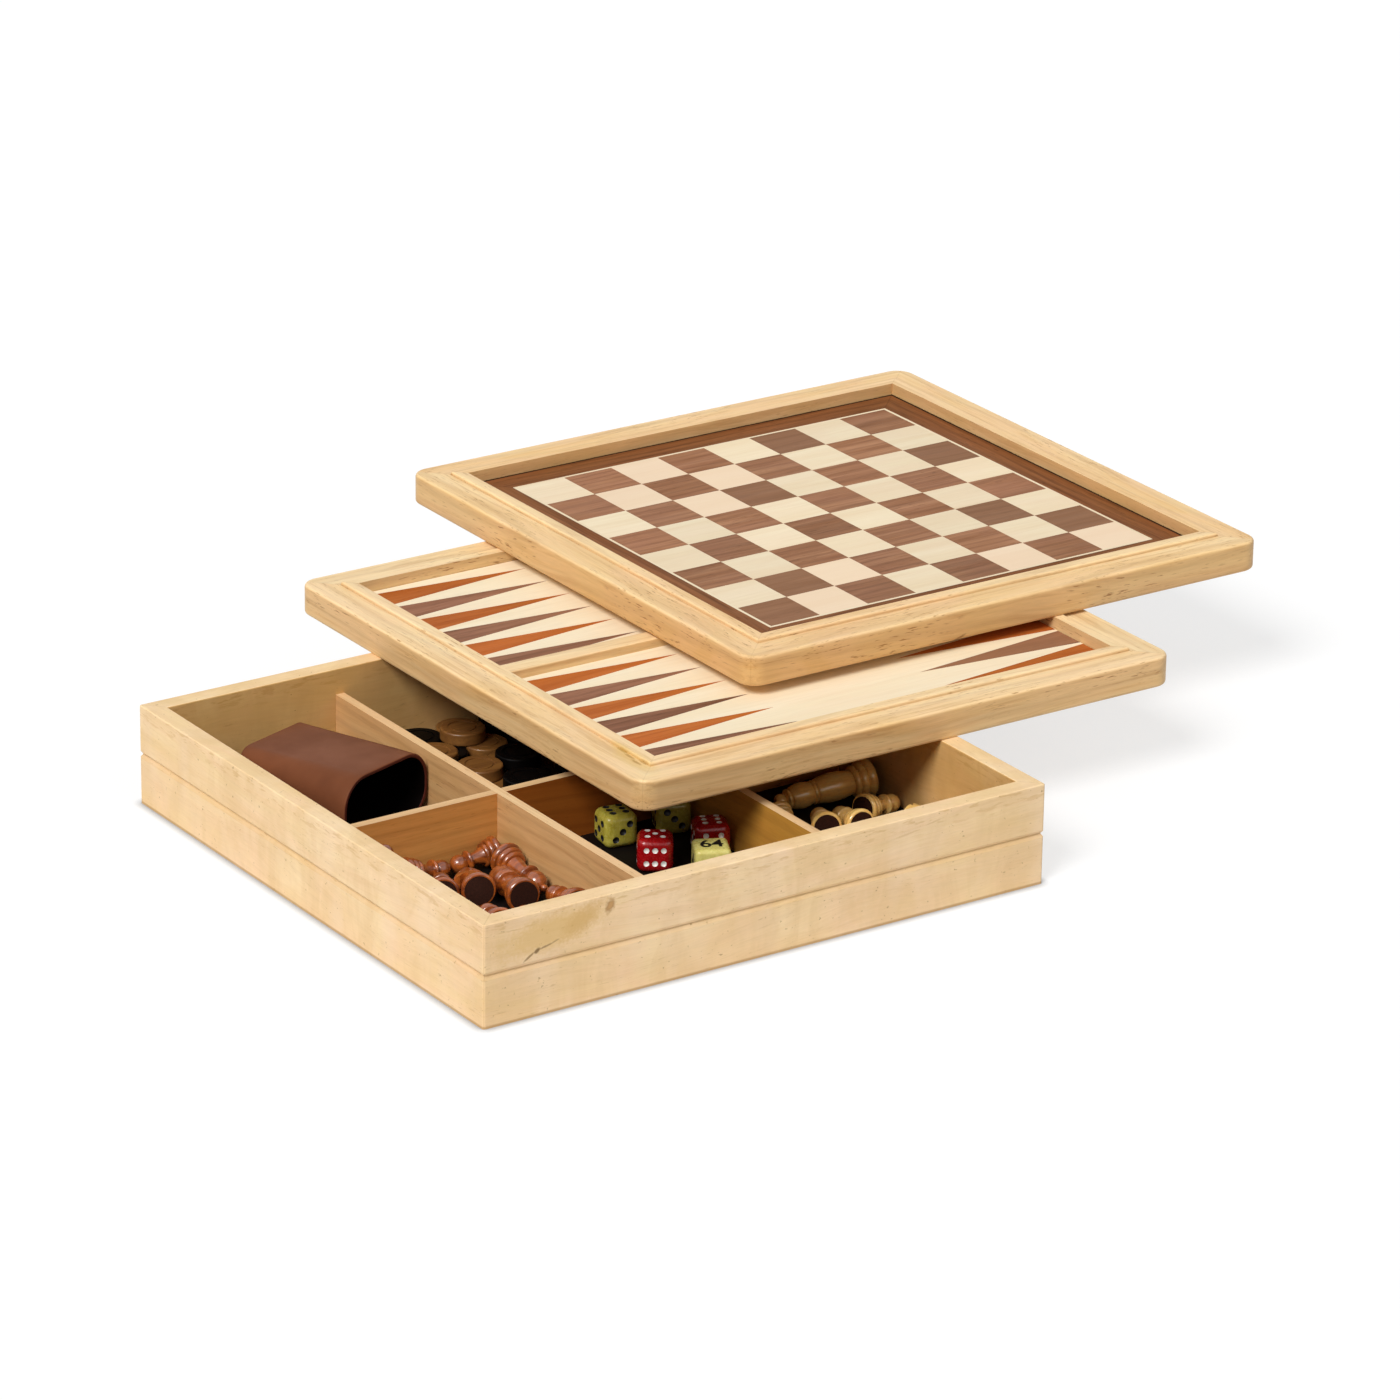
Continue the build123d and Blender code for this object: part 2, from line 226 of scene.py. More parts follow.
def faceUp(tree):
    # 1 on a face that looks straight up, 0 on an upright one
    return parts(tree, tree.nodes.new("ShaderNodeTexCoord").outputs["Normal"])[2]


# woods

# the layers of figure that all the woods share
woodLayers = {
    "wander": {"stretch": (5, 22, 22)},
    "figure": {"detail": 4, "rough": 0.55, "distort": 0.6, "span": (0.34, 0.68)},
    "fibre": {"detail": 3, "rough": 0.6, "span": (0.3, 0.7)},
    "patch": {"stretch": (16, 34, 34), "detail": 4, "rough": 0.6, "distort": 0.8, "span": (0.40, 0.62)},
    "streak": {"stretch": (16, 420, 420), "detail": 4, "rough": 0.65, "distort": 0.3, "span": (0.50, 0.66)},
    "spread": {"stretch": (14, 45, 45), "span": (0.42, 0.62)},
    "fleck": {"stretch": (130, 1300, 1300), "rough": 0.6, "shift": (0.7, 0.2, 0.4)},
}
woodDefaults = {
    "drawn": 0.07, "fibreAlong": 70, "fleckSpan": 0.08, "upright": (0.8, 0.35), "mitreLine": (0.15, 0.5),
    "gloss": (-0.04, 0.06), "coat": 0.0, "coatRough": 0.14, "fibreLift": 0.4, "fleckSink": -0.8,
    "bump": 0.5, "oddFade": 0.01,
}
ringLook = {"distort": 5.0, "detail": 2.0, "fine": 0.6, "core": (0.4, 0.035, 0.05),
            "stretch": (0.16, 1.0, 1.0), "span": (0.55, 1.0)}
knotLook = {"grain": (900, 900, 900), "detail": 3, "ragged": 0.9, "deep": 6, "clear": 1.25, "full": 0.55}


def grainSpace(tree, place, grain):
    # the same place with its grain along X
    if grain == "x":
        return place
    x, y, z = parts(tree, place)
    return joined(tree, y, x, z)


def mitreSplit(tree, place, centre):
    # grain follows each side of a mitred ring; also how near a point is to its mitre
    x, y, z = parts(tree, calcVector(tree, "SUBTRACT", place, (centre[0] * mm, centre[1] * mm, 0)))
    wide, deep = calc(tree, "ABSOLUTE", x), calc(tree, "ABSOLUTE", y)
    turned = joined(tree, y, x, z)
    onSide = calc(tree, "GREATER_THAN", wide, deep)
    gap = calc(tree, "ABSOLUTE", calc(tree, "SUBTRACT", wide, deep))
    return blendVector(tree, onSide, joined(tree, x, y, z), turned), gap


def cellNumber(tree, place, cells):
    # a number for each separate piece of veneer, the same all over that piece
    x, y, _ = parts(tree, place)
    side = 0.0
    if "mirror" in cells:
        off = calc(tree, "SUBTRACT", y, cells["mirror"] * mm)
        side, y = calc(tree, "SIGN", off), calc(tree, "ABSOLUTE", off)
    counts = []
    for value, start, step in zip((x, y), cells["start"], cells["step"]):
        steps = calc(tree, "DIVIDE", calc(tree, "SUBTRACT", value, start * mm), step * mm)
        counts.append(calc(tree, "FLOOR", steps))
    node = tree.nodes.new("ShaderNodeTexWhiteNoise")
    node.noise_dimensions = "3D"
    tree.links.new(joined(tree, *counts, side), node.inputs["Vector"])
    return node.outputs["Value"], node.outputs["Color"]


def knotMarks(tree, place, knots, colour):
    # each mark is a ragged oval: half its size along and up, how deep it goes, and how it leans
    for knot in knots:
        x, y, z = parts(tree, calcVector(tree, "SUBTRACT", place, tuple(c * mm for c in knot["at"])))
        lean = math.radians(knot.get("lean", 0))
        along = calc(tree, "ADD", product(tree, x, math.cos(lean)), product(tree, z, math.sin(lean)))
        across = calc(tree, "SUBTRACT", product(tree, z, math.cos(lean)), product(tree, x, math.sin(lean)))
        halves = (*knot["size"], knot.get("deep", knotLook["deep"]))
        shares = [calc(tree, "DIVIDE", part, half * mm) for part, half in zip((along, across, y), halves)]
        rough = noise(tree, place, knotLook["grain"], knotLook["detail"])
        ragged = product(tree, calc(tree, "SUBTRACT", rough, 0.5), knotLook["ragged"])
        far = calc(tree, "ADD", calcVector(tree, "LENGTH", joined(tree, *shares)), ragged)
        mark = between(tree, far, knotLook["clear"], knotLook["full"], 0.0, knot["dark"])
        colour = tint(tree, mark, colour, knot["tone"])
    return colour


def growthRings(tree, along, scale, look):
    # faint arched lines where the plank cuts the tree's rings
    wave = tree.nodes.new("ShaderNodeTexWave")
    wave.wave_type, wave.rings_direction, wave.wave_profile = "RINGS", "X", "SIN"
    wave.inputs["Scale"].default_value = scale
    wave.inputs["Distortion"].default_value = look["distort"]
    wave.inputs["Detail"].default_value = look["detail"]
    wave.inputs["Detail Scale"].default_value = look["fine"]
    core = calcVector(tree, "MULTIPLY", calcVector(tree, "ADD", along, look["core"]), look["stretch"])
    tree.links.new(core, wave.inputs["Vector"])
    return between(tree, wave.outputs["Fac"], *look["span"])


def woodMaterial(name, look, grain="x", centre=None, cells=None, knots=()):
    wood = {**woodDefaults, **look}
    material, tree, shader = newMaterial(name)
    place = objectPlace(tree)
    along, gap = grainSpace(tree, place, grain), None
    if centre is not None:
        along, gap = mitreSplit(tree, place, centre)
    if cells:
        chance, chances = cellNumber(tree, place, cells)
        along = calcVector(tree, "ADD", along, calcVector(tree, "MULTIPLY", chances, cells["jump"]))
    wander = noise(tree, along, woodLayers["wander"]["stretch"], colour=True)
    sway = (0, wood["sway"] * mm, wood["sway"] * mm)
    sway = calcVector(tree, "MULTIPLY", calcVector(tree, "SUBTRACT", wander, (0.5, 0.5, 0.5)), sway)
    along = calcVector(tree, "ADD", along, sway)

    def layer(key, **more):
        return cloud(tree, along, {**woodLayers[key], **more})

    figure = layer("figure", stretch=(wood["ring"] * wood["drawn"], wood["ring"], wood["ring"]))
    fibre = layer("fibre", stretch=(wood["fibreAlong"], wood["fibre"], wood["fibre"]))
    fleck = layer("fleck", span=(wood["fleckFrom"], wood["fleckFrom"] + wood["fleckSpan"]))
    fleck = product(tree, fleck, layer("spread"))

    colour = blendColour(tree, figure, tone(*wood["early"]), tone(*wood["late"]))
    colour = tint(tree, product(tree, layer("patch"), wood["patch"]), colour, wood["blush"])
    for spots in wood.get("mottle", ()):
        colour = tint(tree, cloud(tree, place, spots, 0.0, spots["depth"]), colour, spots["tone"])
    colour = tint(tree, product(tree, layer("streak"), wood["streak"]), colour, wood["vein"])
    if "rings" in wood:
        rings = product(tree, growthRings(tree, along, wood["rings"], ringLook), wood["ringDepth"])
        colour = tint(tree, rings, colour, wood["pore"])
    colour = dim(tree, colour, calc(tree, "SUBTRACT", 1.0, product(tree, fibre, wood["fibreDepth"])))
    colour = tint(tree, product(tree, fleck, wood["fleck"]), colour, wood["pore"])
    if cells:
        # each piece of veneer a little lighter or darker, and a few of an odd tone
        colour = dim(tree, colour, between(tree, chance, 0.0, 1.0, 1 - cells["vary"], 1 + cells["vary"]))
        plain = 1 - cells["odd"]
        odd = between(tree, parts(tree, chances)[2], plain, plain + wood["oddFade"])
        colour = tint(tree, product(tree, odd, cells["oddDepth"]), colour, cells["oddTone"])
    colour = shadeFaces(tree, place, colour, wood, centre)
    if gap is not None:
        seam = between(tree, gap, *(c * mm for c in wood["mitreLine"]), wood["seam"], 0.0)
        colour = tint(tree, seam, colour, wood["pore"])
    colour = knotMarks(tree, place, knots, colour)

    tree.links.new(colour, shader.inputs["Base Color"])
    gloss = between(tree, figure, 0.0, 1.0, *(wood["rough"] + more for more in wood["gloss"]))
    tree.links.new(gloss, shader.inputs["Roughness"])
    shader.inputs["Specular IOR Level"].default_value = wood["shine"]
    shader.inputs["Coat Weight"].default_value = wood["coat"]
    shader.inputs["Coat Roughness"].default_value = wood["coatRough"]
    relief = calc(tree, "ADD", product(tree, fibre, wood["fibreLift"]),
                  product(tree, fleck, wood["fleckSink"]))
    addBump(tree, shader, relief, wood["relief"] * mm, wood["bump"])
    return material


def shadeFaces(tree, place, colour, wood, centre):
    # painted shade: upright faces and the inside of the box are painted darker than the planed tops
    x, y, z = parts(tree, calcVector(tree, "SUBTRACT", place, (*(c * mm for c in centre or (0, 0)), 0)))
    reach = calc(tree, "MAXIMUM", calc(tree, "ABSOLUTE", x), calc(tree, "ABSOLUTE", y))
    if "side" in wood:
        upright = between(tree, calc(tree, "ABSOLUTE", faceUp(tree)), *wood["upright"])
        if centre and "moulding" in wood:
            # the moulding on top of a rail is kept out of the painted shade of upright faces and keeps the
            # tone of the top
            low, high = (c * mm for c in wood["moulding"])
            moulded = product(tree, calc(tree, "GREATER_THAN", reach, low),
                              calc(tree, "LESS_THAN", reach, high))
            upright = product(tree, upright, calc(tree, "SUBTRACT", 1.0, moulded))
            # painted shade in the crease at the foot of the bead
            colour = tint(tree, band(tree, reach, *wood["beadFootShade"]), colour, wood["pore"])
        # the side tone paints shade on upright faces
        shadedColour = deepen(tree, colour, wood["side"])
        if "shadedBay" in wood:
            # painted shade: the stretch of the divider behind the dice, under the board, is painted darker
            low, high = wood["shadedBay"]
            soft = wood["shadedBaySoft"]
            inShadedBay = product(tree, between(tree, x, (low - soft) * mm, low * mm),
                            between(tree, x, high * mm, (high + soft) * mm, 1.0, 0.0))
            shadedColour = blendColour(tree, inShadedBay, shadedColour, deepen(tree, shadedColour, wood["bayShadeTone"]))
        colour = blendColour(tree, upright, colour, shadedColour)
    if "gap" in wood:
        # painted shade in the gap where the border meets the rails
        colour = tint(tree, band(tree, reach, *wood["gap"]), colour, wood["gapShadeTone"])
    if "groove" in wood:
        # painted shade in the waist groove and along the bottom edge, and wear just under the rim
        outside = calc(tree, "GREATER_THAN", reach, wood["outsideReach"] * mm)
        for shadeStripe in wood["groove"]:
            colour = tint(tree, product(tree, outside, band(tree, z, *shadeStripe)), colour, wood["pore"])
        wear = wood["wear"]
        worn = product(tree, upright, band(tree, z, *wear["height"]))
        worn = product(tree, cloud(tree, place, wear, 0.0, wear["depth"]), worn)
        colour = tint(tree, worn, colour, wear["tone"])
    # painted shade on the box's inner faces
    if "inside" in wood:
        shadedWithin = calc(tree, "LESS_THAN", reach, wood["insideReach"] * mm)
        colour = blendColour(tree, shadedWithin, colour, deepen(tree, colour, wood["inside"]))
    return colour


# the side tone of each wood is painted shade for its upright faces
pineWood = {
    "early": (253, 225, 178), "late": (243, 208, 150), "blush": (251, 210, 172), "pore": (160, 118, 66),
    "vein": (222, 180, 122), "streak": 0.16, "ring": 36, "drawn": 0.2, "sway": 34, "fibre": 1400,
    "fibreDepth": 0.06, "patch": 0.45, "fleck": 0.4, "fleckFrom": 0.64, "rings": 34, "ringDepth": 0.04,
    "rough": 0.55, "shine": 0.12, "relief": 0.05, "side": (243, 242, 244),
}
trayWood = dict(
    # the inside tone is painted shade for the box's inner faces
    pineWood, seam=0.2, inside=(230, 212, 176), insideReach=135.7, outsideReach=141,
    # cloudy curl that stands across the grain, dark and pale, and a few small specks
    mottle=(
        {"stretch": (46, 46, 19), "detail": 4, "rough": 0.6, "distort": 0.9, "span": (0.42, 0.60),
         "depth": 0.6, "tone": (236, 202, 150)},
        {"stretch": (46, 46, 19), "detail": 3, "shift": (0.3, 0.6, 0.2), "span": (0.5, 0.68),
         "depth": 0.42, "tone": (255, 226, 190)},
        {"stretch": (480, 480, 620), "span": (0.70, 0.76), "depth": 0.5, "tone": (134, 96, 52)},
    ),
    # painted shade in the waist groove and along the bottom edge
    groove=((22.9, 0.8, 0.3, 0.24), (23.9, 0.15, 0.5, 0.34), (0.0, 0.8, 0.7, 0.6)),
    wear={"stretch": (90, 90, 460), "detail": 3, "rough": 0.6, "span": (0.54, 0.62), "depth": 0.36,
          "tone": (190, 148, 84), "height": (46, 2, 8, 1.0)},
)
plyWood = dict(pineWood, early=(228, 198, 150), late=(204, 166, 112), ring=35, sway=30)
# the side tone is painted shade for upright faces
boardWood = {
    "early": (255, 230, 182), "late": (246, 206, 146), "blush": (255, 218, 170), "pore": (150, 96, 44),
    "vein": (206, 156, 92), "streak": 0.36, "ring": 60, "sway": 20, "fibre": 1500, "fibreDepth": 0.11,
    "patch": 0.6, "fleck": 0.75, "fleckFrom": 0.61, "rings": 44, "ringDepth": 0.14, "rough": 0.45,
    "shine": 0.2, "relief": 0.05, "seam": 0.12, "side": (227, 216, 201), "moulding": (125.5, 141),
    # painted shade at the foot of the bead
    "beadFootShade": (130.2, 0.1, 0.4, 0.34),
}
chessRailWood = dict(boardWood, early=(254, 222, 168), late=(241, 197, 132), blush=(252, 210, 160),
                     side=(227, 216, 202))
# the side tone is painted shade for upright faces
dividerWood = {
    "early": (242, 208, 160), "late": (230, 188, 132), "blush": (240, 196, 148), "pore": (134, 84, 40),
    "vein": (206, 158, 100), "streak": 0.3, "ring": 60, "sway": 20, "fibre": 1500, "fibreDepth": 0.10,
    "patch": 0.6, "fleck": 0.5, "fleckFrom": 0.63, "rings": 44, "ringDepth": 0.16, "rough": 0.55,
    "shine": 0.15, "relief": 0.04, "side": (230, 215, 196),
}
# the side tone and the darker stretch behind the dice are painted shade under the board
longDividerWood = dict(dividerWood, side=(224, 186, 134), shadedBay=(-44, 42), shadedBaySoft=3, bayShadeTone=(186, 150, 104))
# the olive side tone is painted shade
rightDividerWood = dict(dividerWood, side=(210, 180, 104))
mapleVeneer = {
    "early": (248, 232, 200), "late": (241, 220, 184), "blush": (244, 220, 190), "pore": (206, 176, 136),
    "vein": (232, 208, 170), "streak": 0.25, "ring": 90, "sway": 6, "fibre": 1800, "fibreDepth": 0.05,
    "patch": 0.4, "fleck": 0.2, "fleckFrom": 0.66, "rough": 0.5, "shine": 0.05, "relief": 0.02, "seam": 0.2,
}
# a lighter copy of the maple, painted lighter against the chess board's shadow
fieldVeneerLightened = dict(mapleVeneer, early=(254, 240, 210), late=(250, 232, 196), blush=(252, 230, 198),
                   vein=(238, 216, 178))
walnutVeneer = {
    "early": (180, 130, 94), "late": (150, 102, 70), "blush": (166, 116, 88), "pore": (84, 50, 32),
    "vein": (118, 76, 50), "streak": 0.35, "ring": 150, "sway": 9, "fibre": 1700, "fibreDepth": 0.20,
    "patch": 0.6, "fleck": 0.6, "fleckFrom": 0.61, "rings": 70, "ringDepth": 0.22, "rough": 0.5,
    "shine": 0.05, "relief": 0.03, "seam": 0.4,
}
borderVeneer = dict(walnutVeneer, early=(156, 100, 58), late=(122, 74, 38), blush=(142, 86, 50),
                    # painted shade in the gap along the rails
                    pore=(66, 36, 18), vein=(92, 52, 26), streak=0.5, gap=(124.0, 1.3, 0.4, 0.95),
                    gapShadeTone=(26, 15, 8))
pointWalnut = dict(walnutVeneer, early=(168, 118, 90), late=(136, 92, 68), blush=(154, 106, 82),
                   vein=(104, 66, 48))
orangeVeneer = dict(walnutVeneer, early=(204, 118, 54), late=(176, 92, 38), blush=(194, 104, 44),
                    pore=(136, 60, 18), vein=(160, 78, 30), fibreDepth=0.12, ringDepth=0.08)

chessSquare = 26.8
chessCells = {"start": [middle - 4 * chessSquare for middle in boardPlaces["chess"]],
              "step": (chessSquare, chessSquare), "jump": (3, 3, 3)}
pointCells = {"start": (120, 4.875), "step": (135, 19.15), "mirror": 64, "jump": (3, 3, 3)}


def dressBox():
    trayKnots = [
        {"at": (-112, -145, 37), "size": (26, 8), "dark": 0.6, "lean": 8, "tone": (212, 174, 106)},
        {"at": (-96, -145, 39), "size": (12, 5), "dark": 0.5, "lean": 30, "tone": (204, 162, 100)},
        {"at": (-82.3, -145, 42.0), "size": (3.4, 2.2), "dark": 0.8, "lean": 62, "tone": (158, 116, 66)},
        {"at": (-82.1, -145, 42.2), "size": (2.1, 1.1), "dark": 0.7, "lean": 62, "tone": (200, 156, 102)},
        {"at": (-122.4, -145, 28.0), "size": (3.3, 0.55), "dark": 0.75, "lean": 31, "tone": (128, 98, 60)},
        {"at": (-118.6, -145, 29.9), "size": (1.7, 1.0), "dark": 0.8, "lean": 40, "tone": (104, 78, 48)},
        {"at": (-114.6, -145, 30.9), "size": (3.0, 0.5), "dark": 0.7, "lean": 12, "tone": (130, 102, 68)},
        {"at": (-110.0, -145, 32.1), "size": (2.8, 0.4), "dark": 0.55, "lean": 18, "tone": (150, 118, 78)},
        {"at": (70, -145, 40), "size": (7, 0.5), "dark": 0.28, "lean": 6, "tone": (182, 142, 92)},
        {"at": (86, -145, 43), "size": (5, 0.4), "dark": 0.28, "lean": 10, "tone": (182, 142, 92)},
        {"at": (-20, -140, 46), "size": (9, 0.9), "dark": 0.3, "lean": 4, "tone": (196, 156, 96)},
    ]
    pitchStreaks = [
        {"at": (-12.5, -57, 62), "size": (5.5, 4), "deep": 15, "dark": 0.45, "tone": (226, 188, 104)},
        {"at": (-10.2, -42, 62), "size": (2.2, 4), "deep": 8, "dark": 0.4, "tone": (214, 176, 92)},
        {"at": (-10.6, -45, 62), "size": (0.7, 4), "deep": 4.5, "dark": 0.65, "tone": (176, 134, 50)},
        {"at": (-11.6, -52, 62), "size": (0.8, 4), "deep": 4.5, "dark": 0.7, "tone": (168, 122, 44)},
        {"at": (-12.8, -59, 62), "size": (0.8, 4), "deep": 4, "dark": 0.7, "tone": (172, 124, 44)},
        {"at": (-10.5, -61, 62), "size": (0.7, 4), "deep": 3.5, "dark": 0.55, "tone": (170, 124, 50)},
    ]
    railMarks = {"backgammon": pitchStreaks, "chess": [
        {"at": (189.4, -17.75, 64.2), "size": (4.5, 0.7), "dark": 0.7, "lean": 20, "tone": (120, 78, 34)},
    ]}
    woods = {
        ("tray_back_wall", "tray_front_wall", "tray_left_wall", "tray_right_wall"):
            woodMaterial("trayWood", trayWood, centre=boardPlaces["tray"], knots=trayKnots),
        ("left_divider",): woodMaterial("dividerWoodDeep", dividerWood, "y"),
        ("right_divider",): woodMaterial("dividerWoodOliveShade", rightDividerWood, "y"),
        ("long_divider",): woodMaterial("dividerWoodLong", longDividerWood),
        ("backgammon_bar",): woodMaterial("barWood", boardWood),
        ("backgammon_panel_core", "chess_panel_core"): woodMaterial("panelPly", plyWood),
        ("backgammon_field",): woodMaterial("fieldMaple", fieldVeneerLightened),
        ("chess_line",): woodMaterial("lineMaple", mapleVeneer, centre=boardPlaces["chess"]),
        ("chess_border",): woodMaterial("borderWalnut", borderVeneer, centre=boardPlaces["chess"]),
        ("orange_points",): woodMaterial("pointOrange", orangeVeneer, cells=dict(
            pointCells, vary=0.10, odd=0.2, oddDepth=0.35, oddTone=(202, 138, 84))),
        ("brown_points",): woodMaterial("pointWalnut", pointWalnut, cells=dict(
            pointCells, vary=0.12, odd=0.25, oddDepth=0.5, oddTone=(168, 122, 88))),
        ("dark_squares",): woodMaterial("squareWalnut", walnutVeneer, cells=dict(
            chessCells, vary=0.17, odd=0.16, oddDepth=0.6, oddTone=(138, 100, 72))),
        ("light_squares",): woodMaterial("squareMaple", mapleVeneer, cells=dict(
            chessCells, vary=0.045, odd=0.3, oddDepth=0.6, oddTone=(246, 216, 186))),
    }
    for board, wood in (("backgammon", boardWood), ("chess", chessRailWood)):
        rails = tuple(f"{board}_{side}_rail" for side in ("back", "front", "left", "right"))
        woods[rails] = woodMaterial(f"{board}RailWood", wood, centre=boardPlaces[board],
                                    knots=railMarks[board])
    for names, material in woods.items():
        for name in names:
            dress(name, material)


def dress(name, material):
    slots = nodes[name].material_slots
    if not slots:
        nodes[name].data.materials.append(material)
    for slot in slots:
        slot.material = material


# modelling helpers

def pickOnly(piece):
    bpy.ops.object.select_all(action="DESELECT")
    piece.select_set(True)
    bpy.context.view_layer.objects.active = piece


def joinPieces(pieces, name):
    bpy.ops.object.select_all(action="DESELECT")
    for piece in pieces:
        piece.select_set(True)
    bpy.context.view_layer.objects.active = pieces[0]
    bpy.ops.object.join()
    bpy.context.object.name = name
    return bpy.context.object


def applyModifiers(piece):
    pickOnly(piece)
    for modifier in list(piece.modifiers):
        bpy.ops.object.modifier_apply(modifier=modifier.name)


def settle(piece, place):
    # moves the shape by the matrix and leaves the object at the origin
    pickOnly(piece)
    piece.matrix_world = place @ piece.matrix_world
    bpy.context.view_layer.update()
    bpy.ops.object.transform_apply(location=True, rotation=True, scale=True)


def standingAt(item, height):
    x, y = item["at"]
    turn = Matrix.Rotation(math.radians(item["turn"]), 4, "Z")
    return Matrix.Translation((x * mm, y * mm, height)) @ turn


def bevel(piece, width, segments, angle=30):
    modifier = piece.modifiers.new("Bevel", "BEVEL")
    modifier.width = width
    modifier.segments = segments
    modifier.limit_method = "ANGLE"
    modifier.angle_limit = math.radians(angle)
    applyModifiers(piece)


# tray floor: dark flock inside, bare ply under

floorLining = {"flock": (9, 6, 5), "fuzz": (24, 16, 14), "up": (0.4, 0.6), "shine": 0.15,
               "pile": {"stretch": (2600, 2600, 2600), "detail": 3, "rough": 0.7, "span": (0.35, 0.75)}}


def trayFloorMaterial(lining):
    material = woodMaterial("floorPly", plyWood)
    tree = material.node_tree
    shader = tree.nodes["Principled BSDF"]
    wood = shader.inputs["Base Color"].links[0].from_socket
    pile = cloud(tree, objectPlace(tree), lining["pile"])
    flock = blendColour(tree, pile, tone(*lining["flock"]), tone(*lining["fuzz"]))
    colour = blendColour(tree, between(tree, faceUp(tree), *lining["up"]), wood, flock)
    tree.links.new(colour, shader.inputs["Base Color"])
    shader.inputs["Specular IOR Level"].default_value = lining["shine"]
    return material


# turned men and draughts

menFinishes = {
    "dark": {"early": (198, 104, 40), "late": (106, 46, 16), "blush": (154, 74, 28), "pore": (48, 18, 6),
             "vein": (84, 32, 10), "streak": 0.3, "ring": 260, "sway": 4, "fibre": 1300, "fibreDepth": 0.22,
             "patch": 0.6, "fleck": 0.5, "fleckFrom": 0.62, "rough": 0.26, "shine": 0.5, "relief": 0.02,
             "coat": 0.7},
    "light": {"early": (255, 220, 138), "late": (242, 182, 92), "blush": (252, 202, 114),
              "pore": (156, 100, 44), "vein": (214, 156, 82), "streak": 0.25, "ring": 220, "sway": 4,
              "fibre": 1300, "fibreDepth": 0.12, "patch": 0.5, "fleck": 0.4, "fleckFrom": 0.64,
              "rough": 0.26, "shine": 0.45, "relief": 0.02, "coat": 0.6},
}
# the natural draughts are painted darker than their wood, as painted shade
shadedDraughtWood = dict(menFinishes["light"], early=(148, 100, 48), late=(110, 68, 30), blush=(128, 84, 38),
                   vein=(90, 52, 22), coat=0.1, rough=0.4)
blackStain = dict(menFinishes["dark"], early=(12, 8, 7), late=(6, 4, 4), blush=(8, 6, 5), pore=(2, 2, 2),
                  vein=(5, 3, 3), shine=0.08, coat=0.0, rough=0.45)
menKinds = ("pawns", "rooks", "knights", "bishops", "queen", "king")


def dressMen():
    dark = woodMaterial("menRosewood", menFinishes["dark"])
    light = woodMaterial("menBoxwood", menFinishes["light"])
    for kind in menKinds:
        dress(f"dark_{kind}", dark)
        dress(f"light_{kind}", light)
    dress("natural_draughts", woodMaterial("draughtNatural", shadedDraughtWood))
    dress("black_draughts", woodMaterial("draughtBlack", blackStain))


# felt under the men's feet

footFelt = {
    "rim": 0.6 * mm, "thick": 0.25 * mm, "least": 110 * mm * mm, "round": 0.072, "weld": 0.002 * mm,
    "flat": 0.3, "pile": (34, 16, 10), "fuzz": (60, 32, 22), "rough": 0.9, "shine": 0.1,
    "weave": (2400, 2400, 2400), "detail": 3, "ragged": 0.7, "span": (0.3, 0.75),
    "nap": 0.03 * mm, "bump": 0.6,
}


def feltMaterial(felt):
    material, tree, shader = newMaterial("footFelt")
    pile = noise(tree, objectPlace(tree), felt["weave"], felt["detail"], felt["ragged"])
    colour = blendColour(tree, between(tree, pile, *felt["span"]), tone(*felt["pile"]), tone(*felt["fuzz"]))
    tree.links.new(colour, shader.inputs["Base Color"])
    shader.inputs["Roughness"].default_value = felt["rough"]
    shader.inputs["Specular IOR Level"].default_value = felt["shine"]
    addBump(tree, shader, pile, felt["nap"], felt["bump"])
    return material


def isRound(mesh, face, felt):
    # a foot is a wide flat disc; a knight's cheek is as wide but not round
    corners = [mesh.vertices[number].co for number in face.vertices]
    around = sum((start - end).length for start, end in zip(corners, corners[1:] + corners[:1]))
    return face.area > felt["least"] and face.area > felt["round"] * around ** 2


def makeFeltFeet(colour, felt, material):
    # joins copies of the men, keeps only the discs of their feet and thickens these
    copies = []
    for kind in menKinds:
        copies.append(bpy.data.objects.new("feltFeet", nodes[f"{colour}_{kind}"].data.copy()))
        bpy.context.collection.objects.link(copies[-1])
    pads = joinPieces(copies, f"{colour}_men_felts")
    pads.data.materials.clear()
    pads.data.materials.append(material)
    bpy.ops.object.mode_set(mode="EDIT")
    bpy.ops.mesh.select_mode(type="FACE")
    bpy.ops.mesh.select_all(action="SELECT")
    bpy.ops.mesh.remove_doubles(threshold=felt["weld"])
    bpy.ops.mesh.dissolve_limited(angle_limit=math.radians(felt["flat"]))
    bpy.ops.mesh.select_all(action="DESELECT")
    bpy.ops.object.mode_set(mode="OBJECT")
    for face in pads.data.polygons:
        face.select = isRound(pads.data, face, felt)
    print("Games box:", sum(face.select for face in pads.data.polygons), colour, "feet found")
    bpy.ops.object.mode_set(mode="EDIT")
    bpy.ops.mesh.select_all(action="INVERT")
    bpy.ops.mesh.delete(type="FACE")
    bpy.ops.mesh.select_all(action="SELECT")
    bpy.ops.mesh.inset(thickness=felt["rim"], depth=0)
    bpy.ops.mesh.select_all(action="INVERT")
    bpy.ops.mesh.delete(type="FACE")
    bpy.ops.mesh.select_all(action="SELECT")
    bpy.ops.mesh.extrude_region_shrink_fatten(TRANSFORM_OT_shrink_fatten={"value": felt["thick"]})
    bpy.ops.mesh.select_all(action="SELECT")
    bpy.ops.mesh.normals_make_consistent(inside=False)
    bpy.ops.object.mode_set(mode="OBJECT")
    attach(pads, "tray")


# dice and doubling cube

